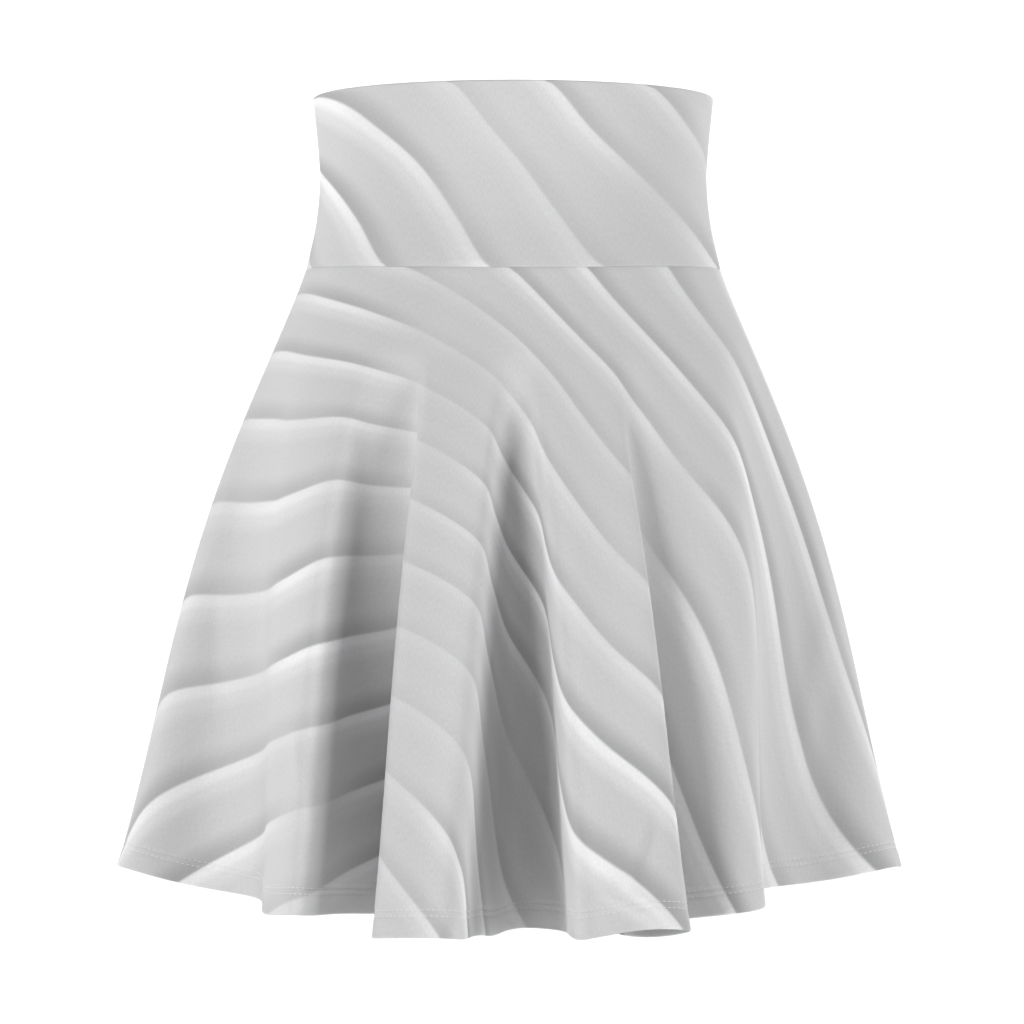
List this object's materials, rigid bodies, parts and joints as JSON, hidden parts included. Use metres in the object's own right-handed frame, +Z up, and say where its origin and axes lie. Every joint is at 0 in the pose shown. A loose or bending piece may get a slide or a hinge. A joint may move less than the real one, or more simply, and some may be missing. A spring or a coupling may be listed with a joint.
{
  "type": "skater skirt",
  "caption": "High-waisted flared skater skirt in stretch knit, hollow as worn, with a wide shaped yoke and a short skirt that hangs in deep soft flutes to a turned-up hem.",
  "frame": {"origin": "centre of the waist, inside the yoke where it is narrowest, where a wearer or a stand holds it", "axes": "+Z up, front towards -Y, +X to the right seen from the front"},
  "size_m": [0.4579, 0.3816, 0.48],
  "materials": {
    "knit": "matte"
  },
  "bodies": {
    "root": {"yoke_front": "knit", "yoke_back": "knit", "skirt_front": "knit", "skirt_back": "knit"}
  },
  "joints": []
}
